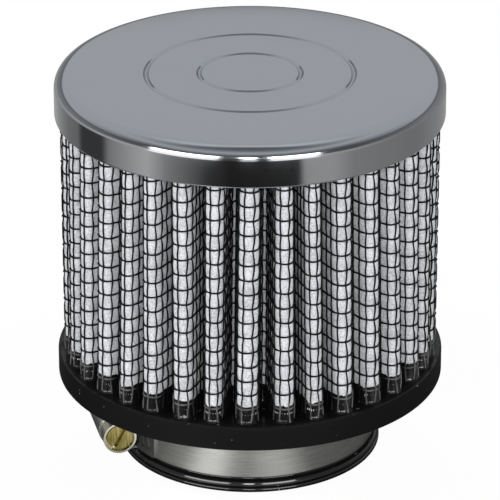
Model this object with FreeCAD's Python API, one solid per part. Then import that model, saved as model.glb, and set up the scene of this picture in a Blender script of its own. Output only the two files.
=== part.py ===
"""Clamp-on crankcase breather filter, in millimetres.

A pleated filter sheet stands between a chromed cap and a cast urethane base. The base ends in a neck that
slips over a breather tube, and a worm-drive band clamp round the neck holds it there.
The origin is on the filter's axis at the bottom of the neck, with +Z up through the cap.
Azimuths are in degrees from +X, anticlockwise seen from above.
"""
import FreeCAD, Part
import math
import os

from FreeCAD import Placement, Rotation, Vector

# Cap: a stamped steel cup
CAP_DIAMETER = 76.2
CAP_HEIGHT = 8.3
CAP_WALL = 1.0
CAP_EDGE_RADIUS = 2.2
CAP_EDGE_FACETS = 4

# Pleated pack: a filter sheet, backed inside by a fine screen, and a wire screen over it, folded together
PACK_HEIGHT = 49.6
PACK_CLEARANCE = 0.05
PACK_DIAMETER = CAP_DIAMETER - 2 * (CAP_WALL + PACK_CLEARANCE)
PLEAT_PITCH = 6.47
PLEAT_DEPTH = 11.0
FOLD_RADIUS = 1.4
SHEET_THICKNESS = 1.1
SCREEN_THICKNESS = 0.3
CREST_FACETS = 3
INNER_FACETS = 2
WINDOW_MARGIN = 0.3
WINDOW_END_BAR = 4.0

# Base: one urethane casting with the neck, and a rim round the pleats
BASE_RIM = 1.15
BASE_DIAMETER = PACK_DIAMETER + 2 * BASE_RIM
BASE_THICKNESS = 5.1
NECK_BORE = 44.45
NECK_LENGTH = 15.4
NECK_WALL = 2.2
BORE_LEAD_IN = 0.5
LIP_DIAMETER = 51.9
LIP_HEIGHT = 2.2
LIP_SLOPE = 0.5

# Clamp: slotted band, worm housing and screw
CLAMP_AZIMUTH = 192.5
BAND_WIDTH = 8.0
BAND_THICKNESS = 0.5
TAIL_REACH = 29.5
RAMP_START = 36.0
RAMP_END = 20.0
SLOT_COUNT = 5
SLOT_PITCH = 2.0
SLOT_WIDTH = 0.9
SLOT_LENGTH = 5.4
SLOT_LEAN = 7.0
HOUSING_LENGTH = 12.0
HOUSING_SHEET = 0.55
WORM_RADIUS = 2.9
SCREW_NECK_RADIUS = 2.0
HEAD_RADIUS = 3.3
HEAD_LENGTH = 4.0
HEAD_RIM = 0.4
HEAD_MOAT = 0.35
HEAD_MOAT_DEPTH = 1.6
HEAD_SINK = 0.3
DRIVE_SLOT_WIDTH = 0.8
DRIVE_SLOT_DEPTH = 1.2
DRIVE_SLOT_TURN = 62.0

# Clearances
BAND_CLEARANCE = 0.05
SIDE_CLEARANCE = 0.1
WORM_CLEARANCE = 0.1
LIP_CLEARANCE = 0.15

# Heights and radii that follow
base_top = NECK_LENGTH + BASE_THICKNESS
cap_rim = base_top + PACK_HEIGHT
cap_top = cap_rim + CAP_HEIGHT
cap_radius = CAP_DIAMETER / 2
bore_radius = NECK_BORE / 2
neck_radius = bore_radius + NECK_WALL
laminate = SHEET_THICKNESS + SCREEN_THICKNESS
pleat_count = round(math.pi * PACK_DIAMETER / PLEAT_PITCH)
crest_circle = PACK_DIAMETER / 2 - FOLD_RADIUS - laminate / 2
fold_circle = PACK_DIAMETER / 2 - PLEAT_DEPTH + FOLD_RADIUS + laminate / 2
half_pitch = math.pi / pleat_count
screen_face = laminate / 2
sheet_face = screen_face - SCREEN_THICKNESS
sheet_back = sheet_face - SHEET_THICKNESS
band_inner = neck_radius + BAND_CLEARANCE
band_outer = band_inner + BAND_THICKNESS
tail_inner = band_outer + BAND_CLEARANCE
tail_outer = tail_inner + BAND_THICKNESS
band_bottom = LIP_HEIGHT + LIP_CLEARANCE + HOUSING_SHEET + SIDE_CLEARANCE
band_middle = band_bottom + BAND_WIDTH / 2
screw_offset = tail_outer + WORM_CLEARANCE + WORM_RADIUS


def polar(radius, azimuth, z=0.0):
    """A point at a radius and an azimuth in radians round the filter's axis."""
    return Vector(radius * math.cos(azimuth), radius * math.sin(azimuth), z)


def polygon_face(points):
    return Part.Face(Part.makePolygon(points + [points[0]]))


def turned(outline):
    """Solid of revolution about Z of a closed outline of (radius, z) points."""
    face = polygon_face([Vector(r, 0, z) for r, z in outline])
    return face.revolve(Vector(0, 0, 0), Vector(0, 0, 1), 360)


def prism(face, height):
    return face.extrude(Vector(0, 0, height))


# Cap and its potting

def rounded_edge():
    """Points down the cap's round edge, from its top to its skirt, on a quarter circle."""
    points = []
    for facet in range(CAP_EDGE_FACETS + 1):
        angle = math.pi / 2 * (1 - facet / CAP_EDGE_FACETS)
        points.append((cap_radius - CAP_EDGE_RADIUS * (1 - math.cos(angle)),
                       cap_top - CAP_EDGE_RADIUS * (1 - math.sin(angle))))
    return points


def make_top_cap():
    """Cup with a flat top and a round upper edge."""
    inner_radius = cap_radius - CAP_WALL
    inner_top = cap_top - CAP_WALL
    return turned([(0, cap_top)] + rounded_edge() + [
        (cap_radius, cap_rim), (inner_radius, cap_rim), (inner_radius, inner_top), (0, inner_top)])


def make_top_potting():
    """Urethane poured into the cap, which holds the upper ends of the pleats."""
    radius = cap_radius - CAP_WALL
    top = cap_top - CAP_WALL
    return turned([(0, cap_rim), (radius, cap_rim), (radius, top), (0, top)])


# Pleated pack

def flank_normal(crest_azimuth, side):
    """Azimuth of the outward normal of a pleat's flank, on its +1 or -1 side.

    The flank is the inner tangent of the crest's circle and the fold's circle, so the distance between the
    two centres along the normal is twice the fold radius, at any depth in the laminate.
    """
    crest = polar(crest_circle, crest_azimuth)
    fold = polar(fold_circle, crest_azimuth + side * half_pitch)
    reach = fold - crest
    heading = math.atan2(reach.y, reach.x)
    return heading - side * math.acos(2 * FOLD_RADIUS / reach.Length)


def pleat_points(offset, crest_facets):
    """Outline of the pleats at an offset outwards from the middle of the laminate.

    Each crest is a round bend in crest_facets flats that stay outside it, so that the crests reach the full
    diameter of the pack. Each fold between two pleats is one flat.
    """
    points = []
    for pleat in range(pleat_count):
        azimuth = 2 * half_pitch * pleat
        crest = polar(crest_circle, azimuth)
        lead = flank_normal(azimuth, -1)
        sweep = (flank_normal(azimuth, 1) - lead) % (2 * math.pi)
        for facet in range(crest_facets + 1):
            between = 0 < facet < crest_facets
            stretch = 1 / math.cos(sweep / crest_facets / 2) if between else 1
            bend = lead + sweep * facet / crest_facets
            points.append(crest + polar((FOLD_RADIUS + offset) * stretch, bend))
        fold = polar(fold_circle, azimuth + half_pitch)
        points.append(fold - polar(FOLD_RADIUS - offset, lead + sweep))
        points.append(fold - polar(FOLD_RADIUS - offset, flank_normal(azimuth + 2 * half_pitch, -1)))
    return points


def pleat_block(offset, crest_facets):
    """Star-shaped block that fills the pleats out to an offset, over the height of the pack."""
    block = prism(polygon_face(pleat_points(offset, crest_facets)), PACK_HEIGHT)
    block.translate(Vector(0, 0, base_top))
    return block


def make_filter_sheet():
    return pleat_block(sheet_face, CREST_FACETS).cut(pleat_block(sheet_back, INNER_FACETS))


def make_outer_screen():
    """Wire screen as one pleated wall, opened by a tall gap over every crest."""
    wall = pleat_block(screen_face, CREST_FACETS).cut(pleat_block(sheet_face, CREST_FACETS))
    crest_radius = FOLD_RADIUS + sheet_face
    sweep = (flank_normal(0, 1) - flank_normal(0, -1)) % (2 * math.pi)
    facet_width = 2 * crest_radius * math.tan(sweep / CREST_FACETS / 2)
    width = facet_width - 2 * WINDOW_MARGIN
    height = PACK_HEIGHT - 2 * WINDOW_END_BAR
    window = Part.makeBox(2 * crest_radius, width, height,
                          Vector(crest_circle, -width / 2, base_top + WINDOW_END_BAR))
    windows = []
    for pleat in range(pleat_count):
        copy = window.copy()
        copy.rotate(Vector(0, 0, 0), Vector(0, 0, 1), math.degrees(2 * half_pitch * pleat))
        windows.append(copy)
    return wall.cut(Part.makeCompound(windows))


# Base casting

def make_base():
    """Flange, neck and lip turned in one outline."""
    base_radius = BASE_DIAMETER / 2
    lip_radius = LIP_DIAMETER / 2
    return turned([
        (bore_radius + BORE_LEAD_IN, 0), (lip_radius - LIP_SLOPE, 0), (lip_radius, LIP_SLOPE),
        (lip_radius, LIP_HEIGHT - LIP_SLOPE), (neck_radius, LIP_HEIGHT), (neck_radius, NECK_LENGTH),
        (base_radius, NECK_LENGTH), (base_radius, base_top), (bore_radius, base_top),
        (bore_radius, BORE_LEAD_IN)])


# Clamp

def clamp_placed(shape):
    """Moves a shape from the clamp's own axes, X out from the neck, Y along the screw, to its place."""
    shape.Placement = Placement(Vector(0, 0, band_middle), Rotation(Vector(0, 0, 1), CLAMP_AZIMUTH))
    return shape


def band_arc(radius, start, end):
    """Edge along the band at a radius, from one azimuth to another, in degrees from the clamp."""
    middle = math.radians((start + end) / 2)
    return Part.Arc(polar(radius, math.radians(start)), polar(radius, middle),
                    polar(radius, math.radians(end))).toShape()


def strip(edges):
    """Band of full width over a closed run of edges."""
    face = Part.Face(Part.Wire(Part.__sortEdges__(edges)))
    solid = prism(face, BAND_WIDTH)
    solid.translate(Vector(0, 0, -BAND_WIDTH / 2))
    return solid


def band_end(inner, outer, azimuth):
    """Edge straight across the band's thickness at an azimuth."""
    angle = math.radians(azimuth)
    return Part.makeLine(polar(inner, angle), polar(outer, angle))


def arc_strip(inner, outer, start, end):
    """Stretch of band between two azimuths."""
    return strip([band_arc(inner, start, end), band_arc(outer, start, end),
                  band_end(inner, outer, start), band_end(inner, outer, end)])


def ramp_edge(low, high):
    """Edge by which the band climbs from its first layer onto the second, before it enters the housing."""
    start, end = -math.radians(RAMP_START), -math.radians(RAMP_END)
    return Part.Arc(polar(low, start), polar((low + high) / 2, (start + end) / 2), polar(high, end)).toShape()


def make_clamp_band():
    """Strip once round the neck, over its own first end and out past the screw head as a slotted tail."""
    start = math.degrees(math.asin(HOUSING_LENGTH / 2 / band_outer))
    half = HOUSING_LENGTH / 2
    turn = arc_strip(band_inner, band_outer, start / 2, 180).fuse(
        arc_strip(band_inner, band_outer, 180, 360 - RAMP_START))
    turn = turn.cut(Part.makeBox(2 * band_outer, half, 2 * BAND_WIDTH, Vector(0, 0, -BAND_WIDTH)))
    ramp = strip([ramp_edge(band_inner, tail_inner), ramp_edge(band_outer, tail_outer),
                  band_end(band_inner, band_outer, -RAMP_START), band_end(tail_inner, tail_outer, -RAMP_END)])
    tail = arc_strip(tail_inner, tail_outer, -RAMP_END, TAIL_REACH)
    slots = []
    for number in range(SLOT_COUNT):
        depth = 4 * BAND_THICKNESS
        corner = Vector(-depth / 2, -SLOT_WIDTH / 2, -SLOT_LENGTH / 2)
        slot = Part.makeBox(depth, SLOT_WIDTH, SLOT_LENGTH, corner)
        slot.rotate(Vector(0, 0, 0), Vector(1, 0, 0), SLOT_LEAN)
        slot.translate(Vector(tail_outer, 0, 0))
        step = math.degrees((number + 1) * SLOT_PITCH / tail_outer)
        slot.rotate(Vector(0, 0, 0), Vector(0, 0, 1), TAIL_REACH - step)
        slots.append(slot)
    tail = tail.cut(Part.makeCompound(slots))
    return clamp_placed(turn.fuse([ramp, tail]).removeSplitter())


def make_clamp_housing():
    """Stamped tunnel over the worm: a curved floor under the tail, two legs, and an arch with end walls."""
    half = HOUSING_LENGTH / 2
    arch_inner = WORM_RADIUS + WORM_CLEARANCE
    arch_outer = arch_inner + HOUSING_SHEET
    leg_inner = BAND_WIDTH / 2 + SIDE_CLEARANCE
    leg_outer = leg_inner + HOUSING_SHEET
    roof = tail_outer + BAND_CLEARANCE + HOUSING_SHEET
    along = Vector(0, 1, 0)
    rear = Vector(screw_offset, -half, 0)
    shell = Part.makeCylinder(arch_outer, HOUSING_LENGTH, rear, along)
    shell = shell.fuse([
        Part.makeBox(screw_offset - roof, HOUSING_LENGTH, 2 * arch_outer, Vector(roof, -half, -arch_outer)),
        Part.makeBox(roof + HOUSING_SHEET - band_inner / 2, HOUSING_LENGTH, 2 * leg_outer,
                     Vector(band_inner / 2, -half, -leg_outer))])
    passage = Part.makeBox(roof - band_inner / 2, 2 * HOUSING_LENGTH, 2 * leg_inner,
                           Vector(band_inner / 2, -HOUSING_LENGTH, -leg_inner))
    floor = Part.makeCylinder(band_outer, 2 * leg_outer, Vector(0, 0, -leg_outer))
    hollow = Part.makeCylinder(band_inner, 4 * leg_outer, Vector(0, 0, -2 * leg_outer))
    worm_room = Part.makeCylinder(arch_inner, HOUSING_LENGTH - 2 * HOUSING_SHEET,
                                  rear + along * HOUSING_SHEET, along)
    neck_hole = Part.makeCylinder(SCREW_NECK_RADIUS + WORM_CLEARANCE, half,
                                  Vector(screw_offset, half / 2, 0), along)
    return clamp_placed(shell.cut([passage.cut(floor), hollow, worm_room, neck_hole]).removeSplitter())


def make_clamp_screw():
    """Captive screw: worm, neck through the housing's wall, and a round head with a rim round its slot."""
    worm_end = HOUSING_LENGTH / 2 - HOUSING_SHEET - WORM_CLEARANCE
    head_start = HOUSING_LENGTH / 2 + WORM_CLEARANCE
    head_end = head_start + HEAD_LENGTH
    boss = HEAD_RADIUS - HEAD_RIM - HEAD_MOAT
    screw = turned([
        (0, -worm_end), (WORM_RADIUS, -worm_end), (WORM_RADIUS, worm_end), (SCREW_NECK_RADIUS, worm_end),
        (SCREW_NECK_RADIUS, head_start), (HEAD_RADIUS, head_start), (HEAD_RADIUS, head_end),
        (HEAD_RADIUS - HEAD_RIM, head_end), (HEAD_RADIUS - HEAD_RIM, head_end - HEAD_MOAT_DEPTH),
        (boss, head_end - HEAD_MOAT_DEPTH), (boss, head_end - HEAD_SINK), (0, head_end - HEAD_SINK)])
    slot = Part.makeBox(2 * boss, DRIVE_SLOT_WIDTH, HEAD_LENGTH,
                        Vector(-boss, -DRIVE_SLOT_WIDTH / 2, head_end - HEAD_SINK - DRIVE_SLOT_DEPTH))
    slot.rotate(Vector(0, 0, 0), Vector(0, 0, 1), DRIVE_SLOT_TURN)
    screw = screw.cut(slot)
    screw.rotate(Vector(0, 0, 0), Vector(1, 0, 0), -90)
    screw.translate(Vector(screw_offset, 0, 0))
    return clamp_placed(Part.makeCompound([screw])).Solids[0]


NODES = {
    "top_cap": make_top_cap,
    "top_potting": make_top_potting,
    "outer_wire_screen": make_outer_screen,
    "filter_sheet": make_filter_sheet,
    "base_and_neck": make_base,
    "clamp_band": make_clamp_band,
    "clamp_housing": make_clamp_housing,
    "clamp_screw": make_clamp_screw,
}


def main():
    os.makedirs("parts", exist_ok=True)
    for name, make in NODES.items():
        shape = make()
        shape.exportStep(f"parts/{name}.step")
        print(f"{name}: {len(shape.Solids)} solid, {shape.Volume / 1000:.2f} cm3, valid {shape.isValid()}")


main()
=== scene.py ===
# %% [markdown]
# # A clamp-on breather filter
# The filter is a chromed cap, a ring of pleats faced with black wire cloth, a cast rubber base with a neck,
# and a worm-drive band clamp. The solids give the frame, and the main sizes below repeat theirs, in
# millimetres. Each mesh is divided by 1000 once, when it is made.

# %% Load the frame
import math

import bmesh
import bpy
import numpy as np
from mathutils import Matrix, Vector


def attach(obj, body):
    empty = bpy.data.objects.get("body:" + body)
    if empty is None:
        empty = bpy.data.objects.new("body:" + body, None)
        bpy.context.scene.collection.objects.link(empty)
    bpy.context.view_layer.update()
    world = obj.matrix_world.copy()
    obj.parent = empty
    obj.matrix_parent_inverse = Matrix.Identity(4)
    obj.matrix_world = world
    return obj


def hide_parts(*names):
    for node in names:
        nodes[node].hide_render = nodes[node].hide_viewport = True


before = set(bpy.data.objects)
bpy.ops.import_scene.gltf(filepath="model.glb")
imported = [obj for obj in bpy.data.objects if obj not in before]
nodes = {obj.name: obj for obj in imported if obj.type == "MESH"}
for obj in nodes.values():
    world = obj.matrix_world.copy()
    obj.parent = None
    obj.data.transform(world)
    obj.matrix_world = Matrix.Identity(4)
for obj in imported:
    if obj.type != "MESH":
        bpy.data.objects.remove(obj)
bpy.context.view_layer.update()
scene = bpy.context.scene
scene.view_settings.view_transform = "Standard"
print("solids:", ", ".join(sorted(nodes)))

# %% [markdown]
# ## Grids of points
# Almost every piece here is a profile carried along a path, so one helper turns an array of points, rows by
# columns, into a mesh of quads. A whole family of wires is one array too, with one more axis for the wires.
# Working on whole arrays is far faster than adding vertices one by one.

# %% A mesh from an array of points
MM = 0.001


def grid_piece(name, points, wrap_rows=False, wrap_columns=False, uv=None):
    """Mesh of quads over points[sheet, row, column, xyz] in mm.

    A quad joins each point to the next row and column, and wrapping joins the last of them to the first.
    """
    points = np.asarray(points, float)
    if points.ndim == 3:
        points = points[None]
    sheets, rows, columns = points.shape[:3]
    index = np.arange(sheets * rows * columns).reshape(sheets, rows, columns)
    if wrap_rows:
        index = np.concatenate([index, index[:, :1]], axis=1)
    if wrap_columns:
        index = np.concatenate([index, index[:, :, :1]], axis=2)
    corners = [index[:, :-1, :-1], index[:, 1:, :-1], index[:, 1:, 1:], index[:, :-1, 1:]]
    quads = np.stack(corners, axis=-1).reshape(-1, 4)
    mesh = bpy.data.meshes.new(name)
    mesh.vertices.add(points.size // 3)
    mesh.vertices.foreach_set("co", (points * MM).ravel())
    mesh.loops.add(quads.size)
    mesh.loops.foreach_set("vertex_index", quads.ravel())
    mesh.polygons.add(len(quads))
    mesh.polygons.foreach_set("loop_start", np.arange(0, quads.size, 4))
    mesh.polygons.foreach_set("use_smooth", np.ones(len(quads), bool))
    mesh.update(calc_edges=True)
    if uv is not None:
        layer = mesh.uv_layers.new(name="along")
        layer.data.foreach_set("uv", np.asarray(uv, float).reshape(-1, 2)[quads.ravel()].ravel())
    piece = bpy.data.objects.new(name, mesh)
    scene.collection.objects.link(piece)
    return piece


def weld(piece, distance=1e-7):
    """Merges points that lie on each other, as at the pole of a turned piece."""
    work = bmesh.new()
    work.from_mesh(piece.data)
    bmesh.ops.remove_doubles(work, verts=work.verts, dist=distance)
    bmesh.ops.dissolve_degenerate(work, edges=work.edges, dist=distance)
    work.to_mesh(piece.data)
    work.free()
    return piece


def fit(piece, body, slot, material, *replaced):
    """Puts a finished piece on its body, in its finish, in place of the solids it stands for."""
    piece.data.materials.clear()
    piece.data.materials.append(material)
    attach(piece, body)
    if replaced:
        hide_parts(*replaced)
    print(f"{piece.name}: {len(piece.data.polygons)} faces")
    return piece


# %% [markdown]
# ## Shader sums as Python
# A finish is mostly sums on a few patterns. The class below wraps one socket, so that `1 - mask` or `a * b`
# adds the Math nodes, and its one method adds any other node.

# %% A socket with operators
class Signal:
    """One value inside a shader; Python's operators on it add Math nodes."""

    def __init__(self, tree, socket=None):
        self.tree = tree
        self.socket = socket

    def node(self, kind, settings=None, inputs=None, output=0):
        """Adds a node, sets it up, feeds its sockets, and gives back one of its outputs."""
        made = self.tree.nodes.new(kind)
        for key, value in (settings or {}).items():
            setattr(made, key, value)
        for key, value in (inputs or {}).items():
            if isinstance(value, Signal):
                self.tree.links.new(value.socket, made.inputs[key])
            else:
                made.inputs[key].default_value = value
        return Signal(self.tree, made.outputs[output])

    def math(self, operation, first, second=0.0):
        return self.node("ShaderNodeMath", {"operation": operation}, {0: first, 1: second})

    def __add__(self, other):
        return self.math("ADD", self, other)

    def __radd__(self, other):
        return self.math("ADD", other, self)

    def __sub__(self, other):
        return self.math("SUBTRACT", self, other)

    def __rsub__(self, other):
        return self.math("SUBTRACT", other, self)

    def __mul__(self, other):
        return self.math("MULTIPLY", self, other)

    def __rmul__(self, other):
        return self.math("MULTIPLY", other, self)

    def ramp(self, low, high):
        """0 below low, 1 above high, and a smooth step between."""
        settings = {"interpolation_type": "SMOOTHSTEP"}
        return self.node("ShaderNodeMapRange", settings, {"Value": self, "From Min": low, "From Max": high})

    def mix(self, first, second):
        """Colour that goes from the first to the second as this value goes from 0 to 1."""
        settings = {"data_type": "RGBA"}
        return self.node("ShaderNodeMix", settings, {0: self, 6: first, 7: second}, 2)


def new_finish(name, **constants):
    """Material with one Principled shader and its constant sockets set; gives both and a Signal."""
    material = bpy.data.materials.new(name)
    material.use_nodes = True
    shader = material.node_tree.nodes["Principled BSDF"]
    for key, value in constants.items():
        shader.inputs[key.replace("_", " ")].default_value = value
    return material, shader, Signal(material.node_tree)


def feed(shader, key, signal):
    signal.tree.links.new(signal.socket, shader.inputs[key])


def noise(root, coordinate, scale, detail=2.0, roughness=0.5):
    inputs = {"Vector": coordinate, "Scale": scale, "Detail": detail, "Roughness": roughness}
    return root.node("ShaderNodeTexNoise", None, inputs)


def place(root):
    """Object coordinates, in metres."""
    return root.node("ShaderNodeTexCoord", output="Object")


def height_of(root, coordinate):
    """Height in millimetres."""
    return root.node("ShaderNodeSeparateXYZ", None, {0: coordinate}, "Z") * 1000.0


def bump(root, height, distance_mm, strength=1.0):
    inputs = {"Height": height, "Distance": distance_mm * MM, "Strength": strength}
    return root.node("ShaderNodeBump", None, inputs)


def attribute(root, name):
    """A number kept at each point of the mesh, or 0 where the mesh has none of that name."""
    return root.node("ShaderNodeAttribute", {"attribute_name": name}, output="Fac")


# %% [markdown]
# ## Finishes
# Chrome, black urethane, coated wire, white filter fibre, rolled stainless and yellow zinc. Each keeps its
# colour as it would be written for plain light, apart from painted shade on the fibre and the band's tail and
# painted highlights on the soaked wires and the screw's rim, and takes its detail from fine noise at the real
# scale.

# %% Chrome
chrome, shader, root = new_finish("chrome", Base_Color=(0.60, 0.62, 0.66, 1), Metallic=1.0, Roughness=0.09)
where = place(root)
haze = noise(root, where, 60.0, 3.0)
feed(shader, "Roughness", 0.06 + haze * 0.08)
feed(shader, "Normal", bump(root, noise(root, where, 60.0, 2.0), 0.03, 0.2))

# %% Black urethane
# Heights over which the gloss of the lip ends and that of the soaked pleats begins, in mm
LIP_GLOSS_END, WET_GLOSS_START = (2.7, 3.3), (20.2, 20.8)
rubber, shader, root = new_finish(
    "black_urethane", Specular_IOR_Level=0.12, Coat_Roughness=0.10, Coat_IOR=1.75)
where = place(root)
height = height_of(root, where)
grain = noise(root, where, 1400.0, 3.0)
blotch = noise(root, where, 160.0, 2.0)
specks = noise(root, where, 1150.0, 0.0).ramp(0.82, 0.86)
feed(shader, "Base Color", specks.mix((0.0046, 0.0046, 0.005, 1), (0.20, 0.20, 0.20, 1)))
feed(shader, "Roughness", 0.42 + blotch * 0.24)
lip_shine = 1 - height.ramp(*LIP_GLOSS_END)
wet = height.ramp(*WET_GLOSS_START)
feed(shader, "Coat Weight", lip_shine + wet * blotch.ramp(0.30, 0.55) * 0.8)
ripple = noise(root, where, 900.0, 2.0) * wet
feed(shader, "Normal", bump(root, grain * 0.5 + blotch + ripple * 3.0, 0.06, 0.5))

# %% Coated wire
# Heights over which the soaked ends stop, and radii over which their wires take a painted highlight, in mm
SOAKED_END, HIGHLIGHT_RADII = (24.0, 25.5), (34.2, 36.8)
wire_black, shader, root = new_finish("coated_wire", Specular_IOR_Level=0.18)
where = place(root)
flow = noise(root, where, 900.0, 2.0)
soaked_wire = 1 - height_of(root, where).ramp(*SOAKED_END)
bare = flow.mix((0.002, 0.002, 0.0025, 1), (0.008, 0.008, 0.009, 1))
flat = root.node("ShaderNodeMapping", None, {"Vector": where, "Scale": (1.0, 1.0, 0.0)})
from_middle = root.node("ShaderNodeVectorMath", {"operation": "LENGTH"}, {0: flat}, "Value") * 1000.0
# Painted highlight: soaked wires on the outer crests turn pale grey, as where light catches them
painted_highlight = flow * from_middle.ramp(*HIGHLIGHT_RADII)
soaked_with_painted_highlight = painted_highlight.mix((0.006, 0.006, 0.006, 1), (0.22, 0.22, 0.22, 1))
feed(shader, "Base Color", soaked_wire.mix(bare, soaked_with_painted_highlight))
feed(shader, "Roughness", 0.45 - soaked_wire * 0.18 + flow * 0.2)
feed(shader, "Normal", bump(root, flow, 0.03, 0.4))

# %% White filter fibre
def cell_wave(root, count):
    """|sin(pi count)|: 0 on a wire and 1 half way to the next."""
    return root.math("ABSOLUTE", root.math("SINE", count * math.pi))


fibre, shader, root = new_finish("white_fibre", Roughness=0.9, Specular_IOR_Level=0.15)
where = place(root)
lint = noise(root, where, 2600.0, 4.0, 0.65)
cloud = noise(root, where, 260.0, 2.0)
wires_before = root.node("ShaderNodeUVMap", {"uv_map": "along"})
across, up = (root.node("ShaderNodeSeparateXYZ", None, {0: wires_before}, axis) for axis in ("X", "Y"))
pillow = cell_wave(root, across) * cell_wave(root, up)
tone = (lint * 0.7 + cloud * 0.3).ramp(0.34, 0.62)
clean = tone.mix((0.415, 0.423, 0.445, 1), (0.725, 0.738, 0.77, 1))
# Painted shade: the fibre turns grey next to each wire, where the wire shades it
feed(shader, "Base Color", pillow.ramp(0.0, 0.24).mix((0.30, 0.30, 0.31, 1), clean))
feed(shader, "Normal", bump(root, pillow * 0.3 + lint * 0.6, 0.30, 0.65))

# %% Rolled stainless
stainless, shader, root = new_finish("rolled_stainless", Metallic=1.0)
where = place(root)
lines = root.node("ShaderNodeMapping", None, {"Vector": where, "Scale": (1.0, 1.0, 30.0)})
brush = noise(root, lines, 220.0, 5.0, 0.7)
steel = brush.ramp(0.25, 0.75).mix((0.46, 0.46, 0.45, 1), (0.66, 0.66, 0.65, 1))
tail_shade = attribute(root, "tail") * brush.ramp(0.0, 0.9)
feed(shader, "Base Color", tail_shade.mix(steel, (0.10, 0.10, 0.10, 1)))
feed(shader, "Roughness", 0.20 + brush * 0.18)
feed(shader, "Normal", bump(root, brush, 0.012, 0.4))

# %% Yellow zinc
zinc, shader, root = new_finish("yellow_zinc", Metallic=1.0)
where = place(root)
upright = root.node("ShaderNodeMapping", None, {"Vector": where, "Scale": (1.0, 1.0, 0.12)})
streak = noise(root, upright, 3200.0, 2.0)
# Painted highlight: the rim of the head is painted pale cream and made smoother, as where it catches light
painted_rim_highlight = attribute(root, "painted_rim_highlight")
yellow = streak.ramp(0.3, 0.7).mix((0.30, 0.26, 0.07, 1), (0.58, 0.51, 0.22, 1))
feed(shader, "Base Color", painted_rim_highlight.mix(yellow, (0.86, 0.82, 0.70, 1)))
feed(shader, "Roughness", 0.30 + streak * 0.16 - painted_rim_highlight * 0.14)
feed(shader, "Normal", bump(root, streak, 0.03, 0.5))
print("finishes:", len(bpy.data.materials))

# %% [markdown]
# ## Turned pieces
# The cap and the base are round, so each is one outline turned about the axis. On the real pieces no corner
# is sharp: a stamping bends round a die and a casting comes out of a mould. So the outline is given as
# corners, each with the reach of its bend, and every corner becomes an arc.

# %% Outlines with round corners, and turning
def rounded_outline(corners, steps=7):
    """Closed outline through (r, z, reach) corners c, each an arc that starts and ends its reach away.

    The arc from a to b is ((1-t)^2 a + 2t(1-t) w c + t^2 b) / ((1-t)^2 + 2t(1-t) w + t^2), and w is the sine
    of half the angle between the sides.
    """
    corners = np.asarray(corners, float)
    here, reach = corners[:, :2], corners[:, 2:]
    before, after = np.roll(here, 1, axis=0) - here, np.roll(here, -1, axis=0) - here
    before /= np.linalg.norm(before, axis=1, keepdims=True)
    after /= np.linalg.norm(after, axis=1, keepdims=True)
    weight = np.sqrt((1 - np.sum(before * after, axis=1)) / 2)[:, None, None]
    t = np.linspace(0, 1, steps)[None, :, None]
    shares = (1 - t) ** 2, 2 * t * (1 - t) * weight, t ** 2
    ends = (here + before * reach)[:, None], here[:, None], (here + after * reach)[:, None]
    bend = sum(share * end for share, end in zip(shares, ends)) / sum(shares)
    return bend.reshape(-1, 2)


def turned(name, outline, steps=288):
    """Outline of (r, z) points turned once about the axis: (r cos a, r sin a, z)."""
    angle = np.linspace(0, 2 * math.pi, steps, endpoint=False)[:, None]
    r, z = outline[None, :, 0], outline[None, :, 1]
    points = np.stack([r * np.cos(angle), r * np.sin(angle), z + 0 * angle], axis=-1)
    return weld(grid_piece(name, points, wrap_rows=True, wrap_columns=True))


# %% [markdown]
# ## Cap
# A stamped steel cup with a chromed finish. Its top is flat and carries two plain pressed rings. A ring is a
# few corners in the outline, so it costs nothing to turn.

# %% Chromed cap
CAP_RADIUS, CAP_RIM, CAP_TOP, CAP_WALL, CAP_EDGE = 38.1, 70.1, 78.4, 1.0, 2.7
RIM_BEND, RIM_INSIDE_BEND, CUP_BEND, CAP_STEPS = 0.62, 0.3, 1.0, 13
RING_RADII, RING_HALF_WIDTH, RING_DEPTH = (20.2, 9.9), 0.50, 0.40
RING_FLOOR_HALF, RING_EDGE_BEND, RING_FLOOR_BEND = 0.15, 0.15, 0.1


def pressed_ring(radius):
    """Corners of a shallow groove, from its outer side to its inner side."""
    top, floor = CAP_TOP, CAP_TOP - RING_DEPTH
    return [(radius + RING_HALF_WIDTH, top, RING_EDGE_BEND),
            (radius + RING_FLOOR_HALF, floor, RING_FLOOR_BEND),
            (radius - RING_FLOOR_HALF, floor, RING_FLOOR_BEND),
            (radius - RING_HALF_WIDTH, top, RING_EDGE_BEND)]


inside_radius, inside_top = CAP_RADIUS - CAP_WALL, CAP_TOP - CAP_WALL
corners = [(0, inside_top, 0), (inside_radius, inside_top, CUP_BEND),
           (inside_radius, CAP_RIM, RIM_INSIDE_BEND), (CAP_RADIUS, CAP_RIM, RIM_BEND),
           (CAP_RADIUS, CAP_TOP, CAP_EDGE)]
for ring in RING_RADII:
    corners += pressed_ring(ring)
corners += [(0, CAP_TOP, 0)]
cap = turned("chromed_cap", rounded_outline(corners, CAP_STEPS))
fit(cap, "filter", "chromed_steel", chrome, "top_cap")

# %% [markdown]
# ## Base casting
# Flange, neck and lip come out of one mould in black urethane. The bore takes the tube. The lip, two beads
# with a groove between them, keeps the clamp from slipping off.

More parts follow.
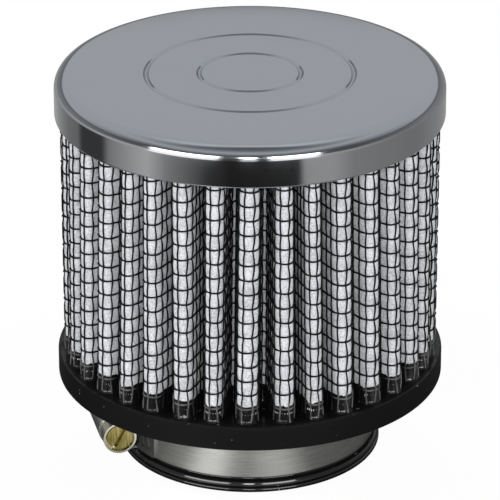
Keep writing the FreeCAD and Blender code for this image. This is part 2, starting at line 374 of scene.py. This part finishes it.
# %% Base, neck and lip
BASE_RADIUS, BASE_TOP, NECK_LENGTH = 38.2, 20.5, 15.4
NECK_RADIUS, BORE_RADIUS, LIP_TAPER = 24.425, 22.225, 0.1
LIP_RADIUS, LIP_HEIGHT, BEAD_RADIUS, SLOPE_RADIUS, GROOVE_RADIUS = 25.95, 2.2, 25.75, 25.53, 25.3
LOWER_BEAD_TOP, GROOVE_FOOT, GROOVE_TOP, UPPER_BEAD_FOOT, SLOPE_FOOT = 1.0, 1.08, 1.2, 1.3, 1.55
base = turned("base_casting", rounded_outline([
    (BORE_RADIUS, BASE_TOP, 0.4), (BORE_RADIUS, 0, 0.5), (LIP_RADIUS, 0, 0.45),
    (LIP_RADIUS, LOWER_BEAD_TOP, 0.45), (GROOVE_RADIUS, GROOVE_FOOT, 0.05), (GROOVE_RADIUS, GROOVE_TOP, 0.05),
    (BEAD_RADIUS, UPPER_BEAD_FOOT, 0.1), (BEAD_RADIUS, SLOPE_FOOT, 0.22), (SLOPE_RADIUS, LIP_HEIGHT, 0.30),
    (NECK_RADIUS, LIP_HEIGHT + LIP_TAPER, 0.2), (NECK_RADIUS, NECK_LENGTH, 1.4),
    (BASE_RADIUS, NECK_LENGTH, 0.5), (BASE_RADIUS, BASE_TOP, 0.5)]))
fit(base, "filter", "black_urethane", rubber, "base_and_neck")
fit(nodes["top_potting"], "filter", "black_urethane", rubber)

# %% [markdown]
# ## The pleat line
# One line carries the sheet, both screens and the rubber that soaked the pleat ends. It bends round a crest,
# runs straight down a flank, bends round a fold, and runs straight up to the next crest. Offsetting it along
# its own normal gives every layer, so the layers can't cross. Its bends are a little tighter than those of
# the solids, so that the flanks show between the crests.
#
# The real pleats were spread by hand and are not quite even, so a slow wave turns each point a degree or two
# round the axis, and a smaller one makes the pleats lean.

# %% Pleat line, its normals and its length
PLEATS, PACK_RADIUS, PLEAT_DEPTH, HALF_LAMINATE = 36, 37.05, 11.0, 0.7
CREST_BEND, FOLD_BEND = 1.22, 0.98
CREST_CIRCLE = PACK_RADIUS - CREST_BEND - HALF_LAMINATE
FOLD_CIRCLE = PACK_RADIUS - PLEAT_DEPTH + FOLD_BEND + HALF_LAMINATE
HALF_PITCH = math.pi / PLEATS


def ray(angle):
    """Unit vectors (cos a, sin a)."""
    return np.stack([np.cos(angle), np.sin(angle)], axis=-1)


def one_pleat(crest_steps=11, flank_steps=4, fold_steps=5):
    """Points, normals and lengths along one pleat, from the middle of a crest to the next, about azimuth 0.

    Crest and fold are arcs of CREST_BEND and FOLD_BEND about centres A and B. The flank is their inner
    tangent, whose normal n makes (B - A) . n the sum of both. A point is A + CREST_BEND n or B - FOLD_BEND n.
    """
    crest = np.array([CREST_CIRCLE, 0.0])
    fold = FOLD_CIRCLE * np.array([math.cos(HALF_PITCH), math.sin(HALF_PITCH)])
    reach = fold - crest
    tangent = math.atan2(reach[1], reach[0]) - math.acos((CREST_BEND + FOLD_BEND) / np.hypot(*reach))
    lead = np.linspace(0, tangent, crest_steps, endpoint=False)
    trail = np.linspace(tangent, HALF_PITCH, fold_steps)
    flank_start, flank_end = crest + CREST_BEND * ray(tangent), fold - FOLD_BEND * ray(tangent)
    share = np.linspace(0, 1, flank_steps, endpoint=False)[:, None]
    half = np.concatenate([crest + CREST_BEND * ray(lead), flank_start + (flank_end - flank_start) * share,
                           fold - FOLD_BEND * ray(trail)])
    normal = np.concatenate([ray(lead), ray(np.full(flank_steps, tangent)), ray(trail)])
    mirror = np.array([[math.cos(2 * HALF_PITCH), math.sin(2 * HALF_PITCH)],
                       [math.sin(2 * HALF_PITCH), -math.cos(2 * HALF_PITCH)]])
    points = np.concatenate([half, (half[::-1] @ mirror)[1:]])
    normals = np.concatenate([normal, (normal[::-1] @ mirror)[1:]])
    steps = np.linalg.norm(np.diff(points, axis=0), axis=1)
    return points, normals, np.concatenate([[0], np.cumsum(steps)])


pleat_points, pleat_normals, pleat_length = one_pleat()
PLEAT_RUN = pleat_length[-1]


def turn(vectors, angle):
    """Plane vectors turned by an angle: (x cos - y sin, x sin + y cos)."""
    c, s = np.cos(angle), np.sin(angle)
    x, y = vectors[..., 0], vectors[..., 1]
    return np.stack([x * c - y * s, x * s + y * c], axis=-1)


def on_line(length):
    """Point and normal of the pleat line at lengths along it, found in one pleat and turned to its own."""
    pleat, rest = np.divmod(np.asarray(length, float), PLEAT_RUN)
    found = []
    for table in (pleat_points, pleat_normals):
        vectors = np.stack([np.interp(rest, pleat_length, column) for column in table.T], axis=-1)
        found.append(turn(vectors, 2 * HALF_PITCH * pleat))
    return found


WANDER = ((0, 0.0, -0.5), (2, 1.0, 0.0), (7, 0.35, 0.3), (13, 0.3, -0.35))
LEAN = ((1, -1.4, 0.0), (5, 0.25, 1.0), (9, 0.3, 2.0))
PACK_MIDDLE, PACK_HALF = (BASE_TOP + CAP_RIM) / 2, (CAP_RIM - BASE_TOP) / 2


def hand_spread(points):
    """Turns points round the axis by waves of their azimuth u from the front, in degrees.

    An entry (m, a, b) of WANDER adds a sin(m u) + b cos(m u). One of LEAN adds h a sin(m u + b), where h goes
    from -1 at the base to 1 at the cap.
    """
    azimuth = np.arctan2(points[..., 0], -points[..., 1])
    height = (points[..., 2] - PACK_MIDDLE) / PACK_HALF
    angle = sum(a * np.sin(m * azimuth) + b * np.cos(m * azimuth) for m, a, b in WANDER)
    angle = angle + height * sum(a * np.sin(m * azimuth + b) for m, a, b in LEAN)
    plane = turn(points[..., :2], np.radians(angle))
    return np.concatenate([plane, points[..., 2:]], axis=-1)


def pleated(length, offset, z):
    """Points of a pleated layer: the line at a length, moved by an offset along its normal, at a height."""
    point, normal = on_line(length)
    plane = point + normal * np.asarray(offset)[..., None]
    return hand_spread(np.concatenate([plane, np.broadcast_to(z, plane.shape[:-1])[..., None]], axis=-1))


print(f"one pleat uses {PLEAT_RUN:.1f} mm of sheet, the pack {PLEATS * PLEAT_RUN:.0f} mm")

# %% [markdown]
# ## Filter sheet
# Soft white fibre, folded with the screens. It is one closed shell: up the outer face, over the edge and down
# the inner face. Its map counts the wires that cross it, so the finish can puff the fibre up between them and
# paint a grey line of shade where they press on it.

# %% Wires along the outer face
ROW_PITCH, FIRST_ROW, TUCK = 3.03, 23.52, 0.2
ROWS_BELOW, ROWS_ABOVE = 2, 18
WIRE_RADIUS, CROSS_RADIUS, CRIMP, SCREEN_MIDDLE, WIRE_SPACING, PUFF = 0.165, 0.19, 0.12, 0.50, 1.66, 0.12
screen_steps = np.linalg.norm(np.diff(pleat_points + SCREEN_MIDDLE * pleat_normals, axis=0), axis=1)
screen_length = np.concatenate([[0], np.cumsum(screen_steps)])
WARP_COUNT = 2 * round(PLEATS * screen_length[-1] / WIRE_SPACING / 2)
PER_PLEAT = WARP_COUNT / PLEATS


def wire_number(length):
    """How many uprights stand before a length of the pleat line; they are even along the outer face."""
    pleat, rest = np.divmod(np.asarray(length, float), PLEAT_RUN)
    return (pleat + np.interp(rest, pleat_length, screen_length) / screen_length[-1]) * PER_PLEAT


def wire_length(number):
    """Length of the pleat line at an upright's number, the inverse of wire_number."""
    pleat, rest = np.divmod(np.asarray(number, float) / PER_PLEAT, 1)
    return (pleat * PLEAT_RUN) + np.interp(rest * screen_length[-1], screen_length, pleat_length)


def puffed(z):
    """How far the fibre swells between two cross wires: PUFF |sin(pi v)|, v counting the rows."""
    return PUFF * np.abs(np.sin(math.pi * (z - FIRST_ROW) / ROW_PITCH))


def row_heights(per_row):
    """Heights from the base to the cap's rim that fall on the cross wires and evenly between them."""
    z = FIRST_ROW + ROW_PITCH * np.arange(-ROWS_BELOW * per_row, ROWS_ABOVE * per_row) / per_row
    return np.concatenate([[BASE_TOP - TUCK], z[(z > BASE_TOP) & (z < CAP_RIM)], [CAP_RIM + TUCK]])


# %% White filter sheet
SHEET_FACE, SHEET_BACK, BACK_ROWS = 0.36, -0.62, 4
lengths = (np.arange(PLEATS)[:, None] * PLEAT_RUN + pleat_length[None, :-1]).ravel()
face_z, back_z = row_heights(per_row=3), np.linspace(CAP_RIM + TUCK, BASE_TOP - TUCK, BACK_ROWS)
shell_z = np.concatenate([face_z, back_z])
shell_offset = np.concatenate([SHEET_FACE + puffed(face_z), np.full(BACK_ROWS, SHEET_BACK)])
sheet_points = pleated(lengths[:, None] + 0 * shell_z, shell_offset + 0 * lengths[:, None], shell_z)
sheet_map = np.stack([wire_number(lengths)[:, None] + 0 * shell_z,
                      (shell_z - FIRST_ROW) / ROW_PITCH + 0 * lengths[:, None]], axis=-1)
sheet = grid_piece("filter_sheet_pleats", sheet_points, True, True, sheet_map)
fit(sheet, "filter", "white_sheet", fibre, "filter_sheet")

# %% [markdown]
# ## Wire cloth
# The screen is a plain weave: each upright wire goes over one cross wire and under the next, and its
# neighbour does the opposite. So an upright swings out by a cosine of its height, and a cross wire swings in
# by the same cosine of its length along the pleat line. Where one is out the other is in.

# %% Woven wires
SIDE_SWING, ROW_SAG, SAG_RATE, ROWS = 0.10, 0.12, 2.4, 16


def round_wire(centres, normals, across, radius, sides):
    """Tube about centre lines: centre + radius (cos b n + sin b t), b going round the section."""
    b = np.linspace(0, 2 * math.pi, sides, endpoint=False) + math.pi / sides
    ring = np.cos(b)[:, None] * normals[..., None, :] + np.sin(b)[:, None] * across[..., None, :]
    return centres[..., None, :] + radius * ring


def spread_frame(length, offset, z, step=0.02):
    """Centre points with their outward and sideways directions, from small differences on the layer."""
    centre = pleated(length, offset, z)
    outward = pleated(length, offset + step, z) - centre
    outward /= np.linalg.norm(outward, axis=-1, keepdims=True)
    up = np.array([0.0, 0.0, 1.0])
    sideways = np.cross(up, outward)
    return centre, outward, sideways


def upright_wires(name, numbers, length_of, middle, swell, sides=4):
    """Wires along z; wire i swings out and sideways by cos(pi (row + i)) and rides on the swollen fibre."""
    wire, z = numbers[:, None], row_heights(per_row=2)[None, :]
    beat = np.cos(math.pi * ((z - FIRST_ROW) / ROW_PITCH + wire))
    offset = middle + CRIMP * beat + swell * puffed(z)
    centre, outward, sideways = spread_frame(length_of(wire) + SIDE_SWING * beat, offset, z + 0 * wire)
    return grid_piece(name, round_wire(centre, outward, sideways, WIRE_RADIUS, sides), wrap_columns=True)


def cross_wires(name, rows, numbers, length_of, middle, sides=4):
    """Rings along the line at each row; ring j swings in by cos(pi (wire + j)), so it passes each upright."""
    row = np.arange(rows)[:, None]
    length = length_of(numbers[None, :]) + 0 * row
    swing = -CRIMP * np.cos(math.pi * (numbers[None, :] + row))
    z = FIRST_ROW + ROW_PITCH * row + ROW_SAG * np.sin(length / PLEAT_RUN * SAG_RATE + row)
    centre, outward, sideways = spread_frame(length, middle + swing, z)
    up = np.zeros_like(outward)
    up[..., 2] = 1.0
    return grid_piece(name, round_wire(centre, up, outward, CROSS_RADIUS, sides), True, True)


uprights = upright_wires("outer_upright_wires", np.arange(WARP_COUNT), wire_length, SCREEN_MIDDLE, 1.0)
crossers = cross_wires("outer_cross_wires", ROWS, np.arange(2 * WARP_COUNT) / 2, wire_length, SCREEN_MIDDLE)
fit(uprights, "filter", "coated_wire", wire_black, "outer_wire_screen")
fit(crossers, "filter", "coated_wire", wire_black, "outer_wire_screen")

# %% Inner screen
INNER_COUNT, INNER_MIDDLE = 288, -0.80


def inner_length(number):
    """Length of the pleat line at an inner upright's number; these are even along the line."""
    return number * (PLEATS * PLEAT_RUN / INNER_COUNT)


inner_up = upright_wires("inner_upright_wires", np.arange(INNER_COUNT), inner_length, INNER_MIDDLE, 0.0)
inner_points = np.arange(2 * INNER_COUNT) / 2
inner_cross = cross_wires("inner_cross_wires", ROWS, inner_points, inner_length, INNER_MIDDLE)
fit(inner_up, "filter", "coated_wire", wire_black)
fit(inner_cross, "filter", "coated_wire", wire_black)

# %% [markdown]
# ## Soaked pleat ends
# When the base is cast, urethane creeps a few millimetres up the pleats and fills the screen. Its upper edge
# is ragged. It is a skin over the sheet: up the outside to an edge that wanders, over, and down inside the
# fibre.

# %% Rubber that climbed the pleats
SOAK_HEIGHT, SOAK_STEPS, SKIN_FOOT = 3.9, 60, 0.3
# Waves of the edge: rate along the line and height in mm
RAGGED = ((2.3, 0.25), (7.1, 0.25), (23.0, 0.25), (61.0, 0.22), (149.0, 0.2))
# The skin's section: share of its height, and offset from the pleat line in mm
SKIN = np.array([(-0.4, 0.9), (0.0, 0.80), (0.06, 0.60), (0.20, 0.50), (0.90, 0.46), (0.98, 0.42),
                 (1.0, 0.34), (0.9, 0.20), (0.0, 0.20), (-0.4, 0.20)])
fine = (np.arange(PLEATS * SOAK_STEPS) / SOAK_STEPS * PLEAT_RUN)[:, None]
edge = BASE_TOP + SOAK_HEIGHT + sum(a * np.sin(fine / PLEAT_RUN * f + f) for f, a in RAGGED)
soak_z = BASE_TOP + SKIN[None, :, 0] * (edge - BASE_TOP)
soak_z[:, [0, -1]] = BASE_TOP - SKIN_FOOT
soak_points = pleated(fine + 0 * soak_z, SKIN[None, :, 1] + 0 * fine, soak_z)
soaked = grid_piece("soaked_pleat_ends", soak_points, True, True)
fit(soaked, "filter", "black_urethane", rubber)

# %% [markdown]
# ## Clamp
# The solids of the band, the housing and the screw already have the right shapes. Their meshes are loose
# triangles, so a copy of each is merged, and only edges sharper than a set angle stay sharp. Two marks on the
# points tell the finishes where to paint shade on the band's free tail and a highlight on the screw's rim.

# %% Band, housing and screw
def smooth_copy(node, name, sharp_degrees=32):
    """Merged copy of a solid's mesh that shades smoothly across its round faces."""
    mesh = nodes[node].data.copy()
    mesh.name = name
    if "custom_normal" in mesh.attributes:
        mesh.attributes.remove(mesh.attributes["custom_normal"])
    piece = weld(bpy.data.objects.new(name, mesh), 1e-6)
    scene.collection.objects.link(piece)
    mesh.shade_smooth()
    mesh.set_sharp_from_angle(angle=math.radians(sharp_degrees))
    return piece


def spots_of(piece):
    """Points of a piece's mesh, in mm."""
    return np.array([vertex.co for vertex in piece.data.vertices]) / MM


def mark(piece, name, chosen):
    """Keeps 1 at the chosen points of a piece and 0 at the rest."""
    layer = piece.data.attributes.new(name, "FLOAT", "POINT")
    layer.data.foreach_set("value", chosen.astype(np.float32))


TAIL_INSIDE = 25.2
band = smooth_copy("clamp_band", "band_strip")
mark(band, "tail", np.hypot(*spots_of(band)[:, :2].T) > TAIL_INSIDE)
fit(band, "filter", "stainless_band", stainless, "clamp_band")
fit(smooth_copy("clamp_housing", "worm_housing"), "filter", "stainless_band", stainless, "clamp_housing")

# %% Screw, with the rim of its head marked for a painted highlight
SCREW_CENTRE, SCREW_AZIMUTH = (-27.85, -6.17, 7.0), math.radians(192.5)
RIM_INSIDE, HEAD_LENGTH = 2.75, 4.5
screw = smooth_copy("clamp_screw", "worm_screw")
axis = np.array([-math.sin(SCREW_AZIMUTH), math.cos(SCREW_AZIMUTH), 0.0])
spots = spots_of(screw) - SCREW_CENTRE
along_axis = spots @ axis
from_axis = np.linalg.norm(spots - along_axis[:, None] * axis, axis=1)
mark(screw, "painted_rim_highlight", (from_axis > RIM_INSIDE) & (along_axis > along_axis.max() - HEAD_LENGTH))
fit(screw, "screw", "yellow_zinc", zinc, "clamp_screw")

# %% [markdown]
# ## Studio
# The filter stands on a white sweep. Chrome shows whatever stands round it, so a grey tent, which the camera
# doesn't see, closes the studio in, and rings of dark and pale paper lie on the floor.

# %% Floor, tent and paper
FLOOR_HALF, FLOOR_WHITE = 9000.0, 0.97
floor_points = FLOOR_HALF * np.array([[[-1, -1, 0], [-1, 1, 0]], [[1, -1, 0], [1, 1, 0]]])
floor = grid_piece("floor", floor_points)


def white_to_camera(tree, plain, share=1.0):
    """Mixes pure white, for rays that show the background, with what the rest of the light meets."""
    root = Signal(tree)
    path = {name: root.node("ShaderNodeLightPath", output=name) for name in
            ("Is Camera Ray", "Is Glossy Ray", "Is Transmission Ray")}
    shows = root.math("MAXIMUM", path["Is Camera Ray"],
                      root.math("MAXIMUM", path["Is Glossy Ray"], path["Is Transmission Ray"]))
    white = root.node("ShaderNodeEmission", None, {"Color": (1, 1, 1, 1), "Strength": 1.0})
    return root.node("ShaderNodeMixShader", None, {0: shows * share, 1: plain, 2: white})


floor_finish = bpy.data.materials.new("white_sweep")
floor_finish.use_nodes = True
tree = floor_finish.node_tree
plain = Signal(tree, tree.nodes["Principled BSDF"].outputs[0])
tree.nodes["Principled BSDF"].inputs["Base Color"].default_value = (0.8, 0.8, 0.8, 1)
whitened = white_to_camera(tree, plain, FLOOR_WHITE)
tree.links.new(whitened.socket, tree.nodes["Material Output"].inputs["Surface"])
floor.data.materials.append(floor_finish)


def glow_card(name, points, strength, colour=(1, 1, 1, 1)):
    """Surface that only reflections and bounced light see; strength is the light at each of its points."""
    card = grid_piece(name, points)
    level = card.data.attributes.new("level", "FLOAT", "POINT")
    level.data.foreach_set("value", np.broadcast_to(strength, points.shape[:2]).astype(np.float32).ravel())
    glow = bpy.data.materials.new(name)
    glow.use_nodes = True
    glow.node_tree.nodes.clear()
    root = Signal(glow.node_tree)
    inputs = {"Color": colour, "Strength": attribute(root, "level")}
    light = root.node("ShaderNodeEmission", None, inputs)
    out = glow.node_tree.nodes.new("ShaderNodeOutputMaterial")
    glow.node_tree.links.new(light.socket, out.inputs["Surface"])
    card.data.materials.append(glow)
    card.visible_camera = False
    card.visible_shadow = False


AZIMUTHS, ELEVATIONS, TENT_RADIUS = np.linspace(-180, 180, 241), np.linspace(0.1, 90, 91), 1500.0


def round_axis(radius, z):
    """Points (r sin a, -r cos a, z) at azimuths a from behind, through the front at 0, and back."""
    angle = np.radians(AZIMUTHS)[:, None]
    return np.stack([radius * np.sin(angle), -radius * np.cos(angle), z + 0 * angle], axis=-1)


def look_up(table, values):
    """Light at the values, straight between the entries of a table."""
    places, levels = np.array(table).T
    return np.interp(values, places, levels)


# %% Levels of the tent and the paper
# Light of the floor's paper at azimuths from the front: dark below the camera, pale on both sides of it
PAPER = ((-180, 0.40), (-150, 0.40), (-122, 0.20), (-111, 0.18), (-107, 0.05), (-88, 0.05), (-83, 0.25),
         (-57, 0.52), (-45, 0.26), (-22, 0.035), (-10, 0.014), (26, 0.025), (29, 0.38), (45, 0.40),
         (57, 0.27), (104, 0.22), (180, 0.40))
# Light of the paper near the neck, which the band shows: a white strip on the left, a pale one on the right
NEAR_PAPER = ((-180, 0.20), (-84, 0.06), (-60, 0.14), (-40, 0.33), (-27, 1.0), (-20, 1.0), (-9, 0.43),
              (-2, 0.33), (11, 0.60), (20, 0.56), (36, 0.16), (75, 0.12), (120, 0.05), (180, 0.20))
# Light of the paper further out, where three white sheets show in the cap's round edge
BRIGHT_PAPER = ((-180, 0.30), (-58, 0.50), (-55, 1.4), (-19, 1.4), (-16, 0.05), (-6, 0.05), (-5, 0.9),
                (3, 0.9), (4, 0.05), (9, 0.05), (12, 1.4), (36, 1.4), (39, 0.45), (90, 0.25), (180, 0.30))
# Light of the paper under the lip, which keeps the lip black
LIP_PAPER = ((-180, 0.01), (180, 0.01))
# Light of the tent at elevations, in front and behind
TENT_FRONT = ((0, 0.10), (22, 0.10), (30, 0.22), (36, 0.36), (45, 0.50), (54, 0.36), (62, 0.23), (75, 0.15),
              (90, 0.14))
TENT_BACK = ((0, 0.24), (8, 0.26), (14, 0.21), (18.5, 0.13), (20.5, 0.50), (60, 0.50), (70, 0.62), (78, 0.64),
             (84, 0.30), (90, 0.14))
# Radii of the paper's rings, each with its table; the light changes evenly from one to the next
PAPER_RINGS = ((22.5, LIP_PAPER), (28.0, LIP_PAPER), (28.5, NEAR_PAPER), (62.0, NEAR_PAPER), (76.0, PAPER),
               (260.0, PAPER), (300.0, BRIGHT_PAPER), (1000.0, BRIGHT_PAPER), (1100.0, PAPER),
               (TENT_RADIUS, PAPER))
TENT_TINT, PAPER_TINT = (0.95, 0.98, 1.0, 1), (1.0, 0.995, 0.965, 1)
# The paper lies this far above the floor and rises 1 mm in PAPER_RUN
PAPER_LIFT, PAPER_RUN = 0.02, 2000
# Azimuth at which the tent's front ends, and the width over which it goes over to the back
FRONT_END, FRONT_FADE = 60, 60

# %% Tent and floor paper
behind = np.clip((np.abs(AZIMUTHS) - FRONT_END) / FRONT_FADE, 0, 1)[:, None]
tent_light = look_up(TENT_FRONT, ELEVATIONS) * (1 - behind) + look_up(TENT_BACK, ELEVATIONS) * behind
rise = np.radians(ELEVATIONS)[None, :]
tent_points = round_axis(TENT_RADIUS * np.cos(rise), TENT_RADIUS * np.sin(rise))
glow_card("tent", tent_points, tent_light, TENT_TINT)
paper_radii = np.array([[radius for radius, table in PAPER_RINGS]])
paper_points = round_axis(paper_radii, PAPER_LIFT + paper_radii / PAPER_RUN)
paper_light = np.stack([look_up(table, AZIMUTHS) for radius, table in PAPER_RINGS], axis=-1)
glow_card("floor_paper", paper_points, paper_light, PAPER_TINT)
print("rings of paper:", len(PAPER_RINGS))

# %% [markdown]
# Three low lamps in front draw the white streaks on the cap's edge and on the lip. Four more, which the metal
# doesn't mirror, stand by the camera, on each side and behind, so the pleats are bright all round.

# %% Lamps
def soft_lamp(name, place_mm, target_mm, size_mm, power, mirrored=True):
    """Rectangle of light aimed at a point, which shows in the chrome only where mirrored is set."""
    lamp = bpy.data.lights.new(name, "AREA")
    lamp.shape = "RECTANGLE"
    lamp.size, lamp.size_y = size_mm[0] * MM, size_mm[1] * MM
    lamp.energy = power
    holder = bpy.data.objects.new(name, lamp)
    scene.collection.objects.link(holder)
    spot = np.array(place_mm, float)
    aim = np.array(target_mm, float) - spot
    holder.location = spot * MM
    holder.visible_glossy = mirrored
    holder.rotation_euler = Vector(aim).to_track_quat("-Z", "Y").to_euler()


soft_lamp("key_left", (-640, -850, 190), (0, 0, 60), (760, 300), 3.3)
soft_lamp("key_right", (444, -974, 190), (0, 0, 60), (540, 300), 2.7)
soft_lamp("key_middle", (-18, -1000, 190), (0, 0, 60), (150, 200), 0.8)
soft_lamp("fill", (0, -900, 460), (0, 0, 45), (300, 200), 3.8, False)
soft_lamp("left", (-1000, -250, 450), (0, 0, 40), (400, 600), 4.2, False)
soft_lamp("right", (1000, -250, 450), (0, 0, 40), (400, 600), 2.8, False)
soft_lamp("back", (0, 1000, 600), (0, 0, 40), (800, 400), 12.0, False)
print("lamps:", len(bpy.data.lights))

# %% World
world = bpy.data.worlds.new("studio")
world.use_nodes = True
scene.world = world
tree = world.node_tree
dim = Signal(tree, tree.nodes["Background"].outputs[0])
tree.nodes["Background"].inputs["Color"].default_value = (0.5, 0.5, 0.5, 1)
tree.links.new(white_to_camera(tree, dim).socket, tree.nodes["World Output"].inputs["Surface"])

# %% [markdown]
# ## Camera
# The photograph was taken from about 24 degrees above the horizon with a long lens.

# %% Camera
ELEVATION, DISTANCE, TARGET_HEIGHT, LENS, SHIFT_Y = math.radians(24.35), 801.5, 40.42, 291.9, 0.001
lens = bpy.data.cameras.new("camera")
lens.lens = LENS
lens.shift_y = SHIFT_Y
lens.clip_start, lens.clip_end = 0.05, 20
camera = bpy.data.objects.new("camera", lens)
camera_height = TARGET_HEIGHT + DISTANCE * math.sin(ELEVATION)
camera.location = (0, -DISTANCE * math.cos(ELEVATION) * MM, camera_height * MM)
camera.rotation_euler = (math.pi / 2 - ELEVATION, 0, 0)
scene.collection.objects.link(camera)
scene.camera = camera
